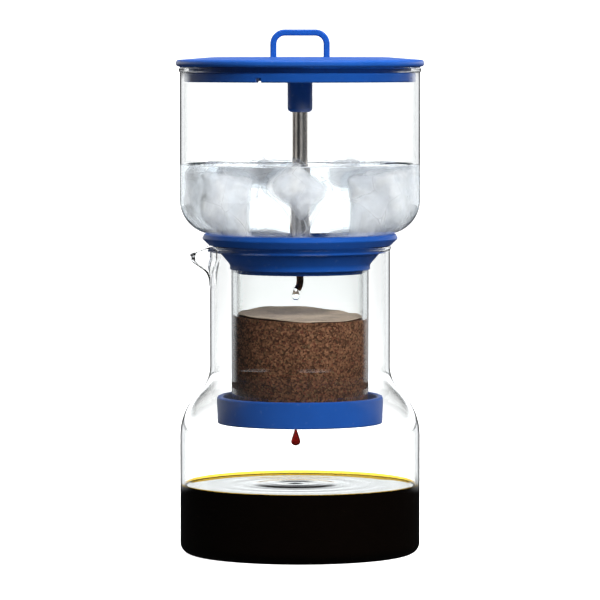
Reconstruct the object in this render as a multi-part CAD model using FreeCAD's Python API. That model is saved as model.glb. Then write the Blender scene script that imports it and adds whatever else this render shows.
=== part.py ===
"""Cold brew coffee maker: an ice water tank that drips into a glass coffee chamber,
which hangs in the neck of a pouring carafe. All lengths are millimetres, +Z is up and
the origin is the centre of the carafe's foot. The pouring lip points along -X."""
import FreeCAD, Part
import math
import os

Vector = FreeCAD.Vector
UP = Vector(0, 0, 1)
BEYOND = 10.0

# Glass rims of the carafe and the tank
rim_round = 0.9
rim_bead_proud = 0.5
rim_bead_height = 2.4

# Carafe
carafe_radius = 62.0
carafe_neck_radius = 46.5
carafe_height = 159.5
carafe_wall = 2.0
carafe_floor = 2.6
carafe_heel_round = 5.5
carafe_shoulder_start = 61.0
carafe_shoulder_round = 31.0
carafe_shoulder_slope = 45.0
carafe_neck_round = 18.6

# Pouring lip, pulled out of the carafe's neck
lip_reach = 9.8
lip_start_below_rim = 21.0
lip_rise = 16.0
lip_growth = 1.3
lip_nose_round = 6.5
lip_flank_angle = 35.0
lip_slope = 24.0
lip_slices = 9

# Brewed coffee
coffee_depth = 32.9

# Collar between tank, carafe and coffee tube
collar_flange_height = 5.75
collar_flare_radius = 50.6
collar_seat_radius = 49.5
collar_flare_drop = 2.3
collar_plug_gap = 0.6
collar_plug_length = 2.3
collar_wiper_gap = 0.1
collar_wiper_height = 1.3
collar_bowl_step = 3.3
collar_bowl_depth = 6.3
collar_skirt_wall = 0.8
collar_skirt_height = 2.5
collar_socket_depth = 4.9
collar_inner_lip = 2.1
collar_bore_radius = 30.0
collar_funnel_radius = 38.0
collar_funnel_depth = 6.5
collar_wiper_slope = 0.3
collar_bowl_lean = 0.4
collar_bowl_drop = 1.0
collar_edge_round = 0.3
collar_seat_round = 0.5
collar_lip_round = 0.8
collar_flare_round = 1.0
collar_bore_round = 2.0
collar_bowl_round = 2.0
collar_skirt_round = 3.0

# Glass coffee tube
tube_radius = 35.4
tube_wall = 2.8
tube_length = 79.0
tube_end_round = 0.5

# Filter cup, its mesh and the ring that clamps the mesh
cup_rim_radius = 43.0
cup_base_radius = 42.6
cup_height = 13.3
cup_rim_width = 3.2
cup_edge_round = 0.8
cup_channel_depth = 7.5
cup_socket_wall = 2.2
cup_socket_below_rim = 3.4
cup_socket_fit = 0.05
cup_ledge_height = 3.4
cup_opening_radius = 30.5
ring_height = 1.8
ring_gap = 0.1
ring_round = 0.3
mesh_thickness = 0.4
mesh_dish = 1.2

# Ground coffee and the paper on it
grounds_depth = 52.0
grounds_gap = 0.35
grounds_tilt = 2.9
paper_thickness = 0.6
paper_gap = 0.6

# Tank
tank_radius = 62.0
tank_wall = 2.0
tank_floor = 2.0
tank_height = 86.3
tank_corner_round = 17.7
tank_hole_radius = 7.0
tank_hole_round = 0.4

# Water and ice in the tank
water_depth = 33.6
water_stem_gap = 0.3
ice_round = 6.0
ice_sizes = [(31.0, 33.0, 28.0), (32.0, 34.0, 29.0), (22.0, 22.0, 22.0), (26.0, 20.0, 14.0), (27.0, 21.0, 15.0)]
ice_places = [(-35.0, -7.0), (35.5, -5.0), (1.0, -26.5), (-15.0, 33.0), (21.0, 33.0)]
ice_turns = [(18.0, 7.0, 9.0), (-14.0, -6.0, 8.0), (12.0, 42.0, 4.0), (20.0, 8.0, -5.0), (-25.0, -6.0, 7.0)]
ice_rises = [0.8, 0.9, 2.6, 1.6, 1.9]

# Drip valve: seal, stem, grip and spout
seal_flange_radius = 10.0
seal_flange_height = 3.0
seal_bead_radius = 8.6
seal_bead_height = 0.9
seal_round = 0.4
notch_width = 2.0
notch_depth = 2.2
stem_radius = 4.0
stem_wall = 1.0
stem_fit = 0.05
stem_below_tank = 15.0
port_radius = 0.7
grip_radius = 6.45
grip_length = 17.9
grip_above_floor = 60.85
grip_engagement = 12.0
grip_round = 2.2
spout_radius = 1.85
spout_bore_radius = 1.1
spout_plug_length = 6.0
spout_straight = 9.1
spout_bend_radius = 8.4
spout_bend_angle = 33.0

# Hanging drops
water_drop_radius = 2.15
water_drop_length = 5.6
water_drop_neck = 1.1
water_drop_shift = 0.8
coffee_drop_radius = 2.45
coffee_drop_length = 9.3
coffee_drop_thread = 5.2
coffee_drop_neck = 0.35
coffee_drop_shift = 2.2

# Lid and its loop handle
lid_radius = 64.0
lid_edge_height = 3.4
lid_height = 4.9
lid_flat_radius = 45.0
lid_crown_round = 60.0
lid_edge_round = 1.5
lid_recess_depth = 2.0
skirt_gap = 0.4
skirt_neck_step = 2.2
skirt_neck_height = 3.1
skirt_length = 7.9
skirt_wall = 2.5
skirt_round = 0.8
vent_width = 3.1
vent_height = 2.4
vent_count = 4
first_vent_angle = -110.5
handle_width = 30.7
handle_rise = 14.2
handle_bar = 3.25
handle_depth = 6.5
handle_corner_round = 7.5
handle_edge_round = 0.9
handle_foot = 1.6

# Levels that the pieces share
collar_top = carafe_height + collar_flange_height
skirt_bottom = carafe_height - collar_plug_length - collar_wiper_height - collar_bowl_depth - collar_skirt_height
tube_top = skirt_bottom + collar_socket_depth
tube_foot = tube_top - tube_length
mesh_top = tube_foot - ring_height
mesh_bottom = mesh_top - mesh_thickness
cup_bottom = mesh_bottom - cup_ledge_height
cup_top = cup_bottom + cup_height
tank_base = collar_top
tank_inside = tank_base + tank_floor
tank_rim = tank_base + tank_height
water_level = tank_inside + water_depth
stem_bottom = tank_base - stem_below_tank
grip_bottom = tank_inside + grip_above_floor
stem_top = grip_bottom + grip_engagement
coffee_level = carafe_floor + coffee_depth

# Radii that the pieces share
carafe_bead_radius = carafe_neck_radius + rim_bead_proud
carafe_neck_bore = carafe_neck_radius - carafe_wall
tube_bore = tube_radius - tube_wall
cup_socket_radius = tube_radius + cup_socket_fit
tank_bore = tank_radius - tank_wall


def rounded_outline(corners):
    """Closed wire in the XZ plane through (x, z, radius) corners, each rounded by its radius."""
    starts = []
    middles = []
    ends = []
    count = len(corners)
    for index, (x, z, radius) in enumerate(corners):
        corner = Vector(x, 0, z)
        before = Vector(corners[index - 1][0], 0, corners[index - 1][1])
        after = Vector(corners[(index + 1) % count][0], 0, corners[(index + 1) % count][1])
        back = (before - corner).normalize()
        ahead = (after - corner).normalize()
        if radius == 0:
            starts.append(corner)
            middles.append(None)
            ends.append(corner)
            continue
        half = back.getAngle(ahead) / 2
        inward = (back + ahead).normalize()
        starts.append(corner + back * (radius / math.tan(half)))
        middles.append(corner + inward * (radius / math.sin(half) - radius))
        ends.append(corner + ahead * (radius / math.tan(half)))
    edges = []
    for index in range(count):
        if middles[index] is not None:
            edges.append(Part.Arc(starts[index], middles[index], ends[index]).toShape())
        edges.append(Part.LineSegment(ends[index], starts[(index + 1) % count]).toShape())
    return Part.Wire(edges)


def turned(corners):
    """Solid of revolution about +Z of a rounded outline."""
    return Part.Face(rounded_outline(corners)).revolve(Vector(0, 0, 0), UP, 360)


def disc(radius, bottom, top, x=0.0, y=0.0):
    """Upright cylinder between two levels."""
    return Part.makeCylinder(radius, top - bottom, Vector(x, y, bottom), UP)


def slanted_cut(shape, level, tilt, reach):
    """What lies below a plane through (0, 0, level) that falls towards +X by a tilt in degrees."""
    block = Part.makeBox(2 * reach, 2 * reach, 2 * reach, Vector(-reach, -reach, 0))
    block.rotate(Vector(0, 0, 0), Vector(0, 1, 0), tilt)
    block.translate(Vector(0, 0, level))
    return shape.cut(block)


def shoulder_corners(offset):
    """Corners of the carafe's heel, shoulder and neck, moved inwards from the outside by an offset."""
    half_slope = math.radians(carafe_shoulder_slope) / 2
    body = carafe_radius - offset
    neck = carafe_neck_radius - offset
    shoulder_corner = carafe_shoulder_start + carafe_shoulder_round * math.tan(half_slope)
    fall = (carafe_radius - carafe_neck_radius) * math.tan(math.radians(carafe_shoulder_slope))
    shift = offset * math.tan(half_slope)
    lower = (body, shoulder_corner - shift, carafe_shoulder_round - offset)
    upper = (neck, shoulder_corner + fall - shift, carafe_neck_round + offset)
    return lower, upper


def lip_slice(level, wall):
    """Flat wedge with a round nose, the section of the lip's horn at a level, inside a given wall."""
    start = carafe_height - lip_start_below_rim
    share = min(max((level - start) / lip_rise, 0.0), 1.0) ** lip_growth
    nose = carafe_neck_radius - rim_round / 2 + (lip_reach + rim_round / 2) * share * share * (3 - 2 * share)
    centre = -(nose - lip_nose_round)
    radius = lip_nose_round - wall
    flank = math.radians(lip_flank_angle)
    root = -(carafe_neck_bore - lip_nose_round)
    touch_x = centre - radius * math.sin(flank)
    touch_y = radius * math.cos(flank)
    root_y = touch_y + (root - touch_x) * math.tan(flank)
    upper_root = Vector(root, root_y, level)
    upper_touch = Vector(touch_x, touch_y, level)
    tip = Vector(centre - radius, 0, level)
    lower_touch = Vector(touch_x, -touch_y, level)
    lower_root = Vector(root, -root_y, level)
    return Part.Wire([
        Part.LineSegment(upper_root, upper_touch).toShape(),
        Part.Arc(upper_touch, tip, lower_touch).toShape(),
        Part.LineSegment(lower_touch, lower_root).toShape(),
        Part.LineSegment(lower_root, upper_root).toShape(),
    ])


def lip_horn(wall):
    """Horn of the pouring lip, lofted through level slices up past the rim."""
    low = carafe_height - lip_start_below_rim
    high = carafe_height + rim_bead_height
    step = (high - low) / (lip_slices - 1)
    slices = [lip_slice(low + step * index, wall) for index in range(lip_slices)]
    return Part.makeLoft(slices, True, False)


def make_carafe_glass():
    outer_lower, outer_upper = shoulder_corners(0.0)
    inner_lower, inner_upper = shoulder_corners(carafe_wall)
    bead_foot = carafe_height - rim_bead_height
    glass = turned([
        (0, 0, 0),
        (carafe_radius, 0, carafe_heel_round),
        outer_lower,
        outer_upper,
        (carafe_neck_radius, bead_foot - rim_bead_proud, rim_bead_proud),
        (carafe_bead_radius, bead_foot, rim_bead_proud),
        (carafe_bead_radius, carafe_height, rim_round),
        (carafe_neck_bore, carafe_height, rim_round),
        inner_upper,
        inner_lower,
        (carafe_radius - carafe_wall, carafe_floor, carafe_heel_round - carafe_wall),
        (0, carafe_floor, 0),
    ])
    middle_of_wall = carafe_neck_radius - carafe_wall / 2
    horn = lip_horn(0.0).cut(disc(middle_of_wall, 0, carafe_height + BEYOND))
    horn = horn.common(disc(carafe_radius + lip_reach, 0, carafe_height))
    glass = glass.fuse(horn).cut(lip_horn(carafe_wall))
    spread = 2 * lip_reach + BEYOND
    trim = Part.makeBox(spread, 2 * spread, spread, Vector(-spread, -spread, 0))
    trim.rotate(Vector(0, 0, 0), Vector(0, 1, 0), -lip_slope)
    trim.translate(Vector(-carafe_neck_radius, 0, carafe_height))
    return glass.cut(trim)


def make_brewed_coffee():
    inner_lower, inner_upper = shoulder_corners(carafe_wall)
    hollow = turned([
        (0, carafe_floor, 0),
        (carafe_radius - carafe_wall, carafe_floor, carafe_heel_round - carafe_wall),
        inner_lower,
        inner_upper,
        (carafe_neck_bore, carafe_height, 0),
        (0, carafe_height, 0),
    ])
    return hollow.common(disc(carafe_radius, 0, coffee_level))


def make_chamber_collar():
    plug = carafe_neck_bore - collar_plug_gap
    wiper = carafe_neck_bore - collar_wiper_gap
    wiper_top = carafe_height - collar_plug_length
    wiper_foot = wiper_top - collar_wiper_height
    bowl = wiper - collar_bowl_step
    skirt = tube_radius + collar_skirt_wall
    bowl_foot = wiper_foot - collar_bowl_depth
    lip_foot = skirt_bottom - collar_inner_lip
    return turned([
        (collar_bore_radius, lip_foot, collar_lip_round),
        (collar_bore_radius, collar_top - collar_funnel_depth, collar_bore_round),
        (collar_funnel_radius, collar_top, collar_flare_round),
        (collar_seat_radius, collar_top, collar_seat_round),
        (collar_flare_radius, collar_top - collar_flare_drop, collar_flare_round),
        (carafe_bead_radius, carafe_height, collar_edge_round),
        (plug, carafe_height, collar_edge_round),
        (plug, wiper_top, 0),
        (wiper, wiper_top - collar_wiper_slope, collar_edge_round),
        (wiper, wiper_foot, collar_edge_round),
        (bowl, wiper_foot, collar_edge_round),
        (bowl - collar_bowl_lean, wiper_foot - collar_bowl_drop, collar_bowl_round),
        (skirt, bowl_foot, collar_skirt_round),
        (skirt, skirt_bottom, collar_edge_round),
        (tube_radius, skirt_bottom, 0),
        (tube_radius, tube_top, 0),
        (tube_bore, tube_top, 0),
        (tube_bore, lip_foot, collar_lip_round),
    ])


def make_chamber_tube():
    return turned([
        (tube_bore, tube_foot, tube_end_round),
        (tube_bore, tube_top, tube_end_round),
        (tube_radius, tube_top, tube_end_round),
        (tube_radius, tube_foot, tube_end_round),
    ])


def make_filter_cup():
    channel_outer = cup_rim_radius - cup_rim_width
    channel_inner = cup_socket_radius + cup_socket_wall
    channel_floor = cup_top - cup_channel_depth
    socket_top = cup_top - cup_socket_below_rim
    return turned([
        (cup_opening_radius, cup_bottom, cup_edge_round),
        (cup_opening_radius, mesh_bottom, 0),
        (cup_socket_radius, mesh_bottom, 0),
        (cup_socket_radius, socket_top, cup_edge_round),
        (channel_inner, socket_top, cup_edge_round),
        (channel_inner, channel_floor, cup_edge_round),
        (channel_outer, channel_floor, cup_edge_round),
        (channel_outer, cup_top, cup_edge_round),
        (cup_rim_radius, cup_top, cup_edge_round),
        (cup_base_radius, cup_bottom, cup_edge_round),
    ])


def make_filter_mesh():
    edge = cup_socket_radius - ring_gap
    return turned([
        (0, mesh_bottom - mesh_dish, 0),
        (cup_opening_radius, mesh_bottom, 0),
        (edge, mesh_bottom, 0),
        (edge, mesh_top, 0),
        (cup_opening_radius, mesh_top, 0),
        (0, mesh_top - mesh_dish, 0),
    ])


def make_filter_rim_ring():
    return turned([
        (tube_bore, mesh_top, 0),
        (cup_socket_radius - ring_gap, mesh_top, 0),
        (cup_socket_radius - ring_gap, tube_foot, ring_round),
        (tube_bore, tube_foot, ring_round),
    ])


def make_coffee_grounds():
    bed = tube_bore - grounds_gap
    column = turned([
        (0, mesh_top - mesh_dish, 0),
        (cup_opening_radius, mesh_top, 0),
        (bed, mesh_top, 0),
        (bed, tube_top, 0),
        (0, tube_top, 0),
    ])
    return slanted_cut(column, mesh_top + grounds_depth, grounds_tilt, tube_length)


def make_paper_filter():
    column = disc(tube_bore - paper_gap, mesh_top + grounds_depth / 2, tube_top)
    upper = slanted_cut(column, mesh_top + grounds_depth + paper_thickness, grounds_tilt, tube_length)
    return upper.cut(slanted_cut(column, mesh_top + grounds_depth, grounds_tilt, tube_length))


def make_tank_glass():
    bead_foot = tank_rim - rim_bead_height
    return turned([
        (tank_hole_radius, tank_base, tank_hole_round),
        (tank_radius, tank_base, tank_corner_round),
        (tank_radius, bead_foot - rim_bead_proud, rim_bead_proud),
        (tank_radius + rim_bead_proud, bead_foot, rim_bead_proud),
        (tank_radius + rim_bead_proud, tank_rim, rim_round),
        (tank_bore, tank_rim, rim_round),
        (tank_bore, tank_inside, tank_corner_round - tank_wall),
        (tank_hole_radius, tank_inside, tank_hole_round),
    ])


def make_ice_cubes():
    cubes = []
    for size, place, turn, rise in zip(ice_sizes, ice_places, ice_turns, ice_rises):
        width, depth, height = size
        cube = Part.makeBox(width, depth, height, Vector(-width / 2, -depth / 2, -height / 2))
        cube = cube.makeFillet(ice_round, cube.Edges)
        for axis, angle in zip((UP, Vector(0, 1, 0), Vector(1, 0, 0)), turn):
            cube.rotate(Vector(0, 0, 0), axis, angle)
        lift = water_level + rise - cube.optimalBoundingBox().ZMax
        cube.translate(Vector(place[0], place[1], lift))
        cubes.append(cube)
    return Part.makeCompound(cubes)


def make_tank_water():
    hollow = turned([
        (0, tank_inside, 0),
        (tank_bore, tank_inside, tank_corner_round - tank_wall),
        (tank_bore, water_level, 0),
        (0, water_level, 0),
    ])
    hollow = hollow.cut(disc(stem_radius + water_stem_gap, tank_base, water_level + BEYOND))
    hollow = hollow.cut(disc(seal_bead_radius, tank_base, tank_inside + seal_bead_height))
    return hollow.cut(make_ice_cubes())


def make_valve_seal():
    bore = stem_radius + stem_fit
    top = tank_inside + seal_bead_height
    seal = turned([
        (bore, tank_base - seal_flange_height, seal_round),
        (seal_flange_radius, tank_base - seal_flange_height, 2 * seal_round),
        (seal_flange_radius, tank_base, seal_round),
        (tank_hole_radius, tank_base, 0),
        (tank_hole_radius, tank_inside, 0),
        (seal_bead_radius, tank_inside, 0),
        (seal_bead_radius, top, seal_round),
        (bore, top, seal_round),
    ])
    notch = Part.makeBox(seal_bead_radius, notch_width, notch_depth + BEYOND,
                         Vector(0, -notch_width / 2, top - notch_depth))
    return seal.cut(notch.cut(disc(stem_radius, tank_base, top + BEYOND)))


def make_valve_stem():
    tube = disc(stem_radius, stem_bottom, stem_top).cut(disc(stem_radius - stem_wall, stem_bottom, stem_top))
    port_level = tank_inside + seal_bead_height - notch_depth / 2
    port = Part.makeCylinder(port_radius, stem_radius + BEYOND, Vector(0, 0, port_level), Vector(1, 0, 0))
    return tube.cut(port)


def make_valve_grip():
    grip_top = grip_bottom + grip_length
    return turned([
        (0, grip_top, 0),
        (grip_radius, grip_top, grip_round),
        (grip_radius, grip_bottom, grip_round),
        (stem_radius, grip_bottom, 0),
        (stem_radius, stem_top, 0),
        (0, stem_top, 0),
    ])


def spout_path():
    """Straight run down from the stem, then a bend towards -X. The end and its direction come too."""
    top = Vector(0, 0, stem_bottom + spout_plug_length)
    knee = Vector(0, 0, stem_bottom - spout_straight)
    angle = math.radians(spout_bend_angle)
    along = [angle / 2, angle]
    points = [knee + Vector(spout_bend_radius * (math.cos(a) - 1), 0, -spout_bend_radius * math.sin(a)) for a in along]
    path = Part.Wire([
        Part.LineSegment(top, knee).toShape(),
        Part.Arc(knee, points[0], points[1]).toShape(),
    ])
    return path, points[1], Vector(-math.sin(angle), 0, -math.cos(angle))


def spout_tube(radius):
    path = spout_path()[0]
    section = Part.Wire([Part.makeCircle(radius, Vector(0, 0, stem_bottom + spout_plug_length), UP)])
    return path.makePipeShell([section], True, False)


def make_drip_spout():
    plug = disc(stem_radius - stem_wall, stem_bottom, stem_bottom + spout_plug_length)
    return plug.fuse(spout_tube(spout_radius)).cut(spout_tube(spout_bore_radius))


def hanging_drop(radius, length, neck_radius, thread):
    """Round drop whose cone narrows to a neck; its lowest point is at z = 0 and its thread goes on up."""
    apex = Vector(neck_radius, 0, length)
    centre = Vector(0, 0, radius)
    reach = (apex - centre).Length
    angle = math.atan2(apex.z - centre.z, apex.x) - math.acos(radius / reach)
    touch = Vector(radius * math.cos(angle), 0, radius + radius * math.sin(angle))
    side = Vector(radius * math.cos(angle / 2 - math.pi / 4), 0, radius + radius * math.sin(angle / 2 - math.pi / 4))
    top = Vector(0, 0, length + thread)
    shoulder = Vector(neck_radius, 0, length + thread)
    outline = Part.Wire([
        Part.Arc(Vector(0, 0, 0), side, touch).toShape(),
        Part.LineSegment(touch, apex).toShape(),
        Part.LineSegment(apex, shoulder).toShape(),
        Part.LineSegment(shoulder, top).toShape(),
        Part.LineSegment(top, Vector(0, 0, 0)).toShape(),
    ])
    return Part.Face(outline).revolve(Vector(0, 0, 0), UP, 360)


def make_water_drop():
    end, direction = spout_path()[1:]
    drop = hanging_drop(water_drop_radius, water_drop_length, water_drop_neck, spout_radius)
    drop.translate(Vector(end.x - water_drop_shift, 0, end.z - water_drop_length))
    cover = Part.makeCylinder(BEYOND, BEYOND, end, direction * -1)
    return drop.cut(cover)


def make_coffee_drop():
    drop = hanging_drop(coffee_drop_radius, coffee_drop_length, coffee_drop_neck, coffee_drop_thread)
    under_mesh = mesh_bottom - mesh_dish * (1 - coffee_drop_shift / cup_opening_radius)
    contact = mesh_thickness / 2
    drop.translate(Vector(-coffee_drop_shift, 0, under_mesh + contact - coffee_drop_length - coffee_drop_thread))
    return drop.cut(make_filter_mesh())


def make_lid_cover():
    skirt = tank_bore - skirt_gap
    neck = skirt - skirt_neck_step
    inside = neck - skirt_wall
    foot = tank_rim - skirt_length
    lid = turned([
        (0, tank_rim + lid_recess_depth, 0),
        (0, tank_rim + lid_height, 0),
        (lid_flat_radius, tank_rim + lid_height, lid_crown_round),
        (lid_radius, tank_rim + lid_edge_height, lid_edge_round),
        (lid_radius, tank_rim, lid_edge_round),
        (neck, tank_rim, skirt_round),
        (neck, tank_rim - skirt_neck_height, skirt_round),
        (skirt, tank_rim - skirt_neck_height, skirt_round),
        (skirt, foot, skirt_round),
        (inside, foot, skirt_round),
        (inside, tank_rim + lid_recess_depth, skirt_round),
    ])
    vent_start = inside - skirt_gap
    for index in range(vent_count):
        vent = Part.makeBox(lid_radius - vent_start, vent_width, vent_height + BEYOND,
                            Vector(vent_start, -vent_width / 2, foot - BEYOND))
        vent.rotate(Vector(0, 0, 0), UP, first_vent_angle + index * 360 / vent_count)
        lid = lid.cut(vent)
    return lid.cut(make_lid_handle())


def make_lid_handle():
    foot = tank_rim + lid_height - handle_foot
    top = tank_rim + lid_height + handle_rise
    outer = handle_width / 2
    inner = outer - handle_bar
    inner_round = handle_corner_round - handle_bar
    outline = rounded_outline([
        (-outer, foot, 0),
        (-outer, top, handle_corner_round),
        (outer, top, handle_corner_round),
        (outer, foot, 0),
        (inner, foot, 0),
        (inner, top - handle_bar, inner_round),
        (-inner, top - handle_bar, inner_round),
        (-inner, foot, 0),
    ])
    outline.translate(Vector(0, -handle_depth / 2, 0))
    loop = Part.Face(outline).extrude(Vector(0, handle_depth, 0))
    along = [edge for edge in loop.Edges if abs(edge.BoundBox.YMin - edge.BoundBox.YMax) < handle_bar]
    sides = [edge for edge in along if edge.BoundBox.ZMax > foot + handle_foot / 2]
    return loop.makeFillet(handle_edge_round, sides)


pieces = {
    "carafe_glass": make_carafe_glass,
    "brewed_coffee": make_brewed_coffee,
    "chamber_collar": make_chamber_collar,
    "chamber_tube": make_chamber_tube,
    "filter_cup": make_filter_cup,
    "filter_mesh": make_filter_mesh,
    "filter_rim_ring": make_filter_rim_ring,
    "coffee_grounds": make_coffee_grounds,
    "paper_filter": make_paper_filter,
    "coffee_drop": make_coffee_drop,
    "tank_glass": make_tank_glass,
    "tank_water": make_tank_water,
    "ice_cubes": make_ice_cubes,
    "valve_seal": make_valve_seal,
    "valve_stem": make_valve_stem,
    "valve_grip": make_valve_grip,
    "drip_spout": make_drip_spout,
    "water_drop": make_water_drop,
    "lid_cover": make_lid_cover,
    "lid_handle": make_lid_handle,
}

os.makedirs("parts", exist_ok=True)
for name, make in pieces.items():
    shape = make()
    shape.exportStep(os.path.join("parts", name + ".step"))
    print(f"{name}: {len(shape.Solids)} solids, {shape.Volume / 1000:.2f} cm3, valid {shape.isValid()}")
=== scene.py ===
"""Looks for a slow-drip cold brew coffee maker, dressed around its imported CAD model.

The glass, rubber and steel nodes of the model keep their meshes and get finishes. The carafe, the
liquids, the ice, the grounds, the paper and the woven mesh are modelled here and stand for their nodes.
"""

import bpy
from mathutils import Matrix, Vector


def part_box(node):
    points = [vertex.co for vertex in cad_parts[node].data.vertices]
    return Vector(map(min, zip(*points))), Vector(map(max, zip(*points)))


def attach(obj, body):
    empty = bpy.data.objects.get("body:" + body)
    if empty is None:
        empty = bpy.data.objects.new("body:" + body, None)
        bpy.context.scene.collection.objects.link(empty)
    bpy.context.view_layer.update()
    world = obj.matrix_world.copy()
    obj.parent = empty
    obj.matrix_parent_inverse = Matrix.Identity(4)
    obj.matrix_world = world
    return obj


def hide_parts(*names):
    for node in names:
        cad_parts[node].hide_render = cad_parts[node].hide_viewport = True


bl_info = {
    "name": "Cold Brew Coffee Maker Looks",
    "version": (1, 0, 0),
    "blender": (4, 5, 0),
    "location": "3D View > Sidebar > Cold Brew",
    "description": "Dresses the packed cold brew coffee maker and sets up its studio",
    "category": "Object",
}

import math

import bmesh
import bpy
from mathutils import Matrix, Vector, noise

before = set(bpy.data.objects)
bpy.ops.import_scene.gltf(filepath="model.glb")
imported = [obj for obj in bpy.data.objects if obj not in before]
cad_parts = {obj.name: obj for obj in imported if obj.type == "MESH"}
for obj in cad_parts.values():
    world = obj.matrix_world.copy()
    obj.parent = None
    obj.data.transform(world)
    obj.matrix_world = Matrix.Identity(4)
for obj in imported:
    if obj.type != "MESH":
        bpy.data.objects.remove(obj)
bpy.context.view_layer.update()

MM = 0.001
FULL_TURN = 2 * math.pi
# A point of an outline this near to the axis is a pole.
ON_AXIS = 1e-7
# Points of a liquid further than this below its level belong to its side.
SURFACE_DEPTH = 0.01 * MM
# How much of a lamp's light gets through glass, water and ice.
SHADOW_GLASS = (0.96, 0.957, 0.952, 1)
WHITE = (1, 1, 1, 1)

# The bed of grounds: how far its mesh reaches out of the solid to touch the tube, the height of its top
# in the middle, and how that top falls to the right and the front.
WALL_CONTACT = 0.65 * MM
BED_TOP = 122.9 * MM
BED_FALL_RIGHT = math.tan(math.radians(1.7))
BED_FALL_FRONT = math.tan(math.radians(2.9))
# Heights between which the grounds go from darker at their foot to full colour.
GROUNDS_DARK_FOOT = 71 * MM
GROUNDS_FULL_TOP = 118 * MM
GRAIN_CELL = 0.8 * MM

# The wet paper: its thickness, how far it reaches past the solid bed, and its height over the bed.
PAPER_THICK = 0.35 * MM
PAPER_OVERHANG = 0.3 * MM
PAPER_LIFT = 0.35 * MM

# The pouring lip: angle of its straight flanks, fall of its edge, and how far round the neck it acts.
LIP_FLANK = math.radians(35)
LIP_FALL = math.tan(math.radians(24))
LIP_SPAN = math.radians(80)
# Longest steps of the carafe's outline, near the lip and elsewhere.
FINE_STEP = 1.2 * MM
PLAIN_STEP = 2.6 * MM

# Lumps of ice: (size, place of the centre, turns about Z, Y and X in degrees, rise above the water), in mm.
ICE_LUMPS = (
    ((31, 33, 28), (-35, -7), (18, 7, 9), 0.8),
    ((32, 34, 29), (35.5, -5), (-14, -6, 8), 0.9),
    ((28, 22, 23), (-1, -27.5), (8, 42, 4), 4.4),
    ((26, 20, 14), (-15, 33), (20, 8, -5), 1.6),
    ((27, 21, 15), (21, 33), (-25, -6, 7), 1.9),
)
ICE_ROUND = 6 * MM

# Lumps for each square metre of surface.
BUBBLE_DENSITY = 24000.0
GRAIN_DENSITY = 520000.0

carafe_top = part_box("carafe_glass")[1]
pool_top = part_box("brewed_coffee")[1]
tank_water_foot, tank_water_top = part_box("tank_water")
grounds_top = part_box("coffee_grounds")[1]
mesh_foot, mesh_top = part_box("filter_mesh")
stem_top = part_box("valve_stem")[1]


def length(name, default, description):
    """A length that a user may change, with its default in mm."""
    kind = {"unit": "LENGTH", "subtype": "DISTANCE", "precision": 5}
    return bpy.props.FloatProperty(name=name, default=default * MM, description=description, **kind)


def amount(name, default, description, unit="NONE"):
    """A brightness, or an amount in another unit, that a user may change."""
    return bpy.props.FloatProperty(name=name, default=default, description=description, unit=unit, min=0)


def colour(name, default, description):
    """A colour that a user may change."""
    return bpy.props.FloatVectorProperty(
        name=name, default=default + (1.0,), description=description, subtype="COLOR", size=4, min=0, max=1
    )


class BrewerSizes(bpy.types.PropertyGroup):
    """Sizes of the pieces that are modelled here."""

    wall: length("Glass wall", 2, "Thickness of the carafe's wall")
    floor: length("Glass floor", 2.6, "Thickness of the carafe's foot")
    heel: length("Heel round", 5.5, "Round where the carafe's side meets its foot")
    neck: length("Neck radius", 46.5, "Outside radius of the carafe's neck")
    shoulder_start: length("Shoulder start", 61, "Height where the carafe's shoulder begins")
    shoulder_round: length("Shoulder round", 31, "Radius of the shoulder's outward curve")
    neck_round: length("Neck round", 18.6, "Radius of the curve from shoulder into neck")
    bead: length("Rim bead", 0.5, "How far the rim's bead stands out of the neck")
    lip_reach: length("Lip reach", 9.8, "How far the pouring lip reaches out of the neck")
    lip_depth: length("Lip depth", 21, "How far below the rim the lip begins")
    lip_rise: length("Lip rise", 16, "Height over which the lip reaches out")
    lip_nose: length("Lip nose", 6.5, "Radius of the lip's round nose")
    lip_blend: length("Lip blend", 5, "Softness of the crease between lip and neck")
    tank_corner: length("Tank corner", 15.7, "Inside round of the tank's foot")
    overlap: length("Liquid overlap", 0.2, "How far a liquid goes into its glass, so no air shows")
    coffee_climb: length("Coffee climb", 1.6, "How far the coffee climbs the carafe at its back")
    water_climb: length("Water climb", 0.7, "How far the water climbs the tank at its edge")
    climb_reach: length("Climb reach", 0.7, "How far from the edge a liquid's climb dies out")
    ripple: length("Ripple height", 0.2, "Height of the rings that a drop leaves on the coffee")
    ripple_length: length("Ripple length", 12, "Distance from one ring to the next")
    ripple_reach: length("Ripple reach", 26, "How far from the drip the rings lose most of their height")
    mound: length("Mound height", 0.7, "How far the coffee swells round the drip")
    mound_flat: length("Mound flat", 17, "How far from the drip the mound begins to fall")
    mound_fall: length("Mound fall", 7, "Distance over which the mound falls")
    grain: length("Grain size", 0.45, "Radius of a grain of ground coffee")
    mesh_pitch: length("Mesh pitch", 1.15, "Distance between wires of the woven mesh")
    mesh_wire: length("Mesh wire", 0.16, "Radius of a wire of the woven mesh")
    bubble: length("Bubble size", 0.17, "Radius of a bubble in the ice")


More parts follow.
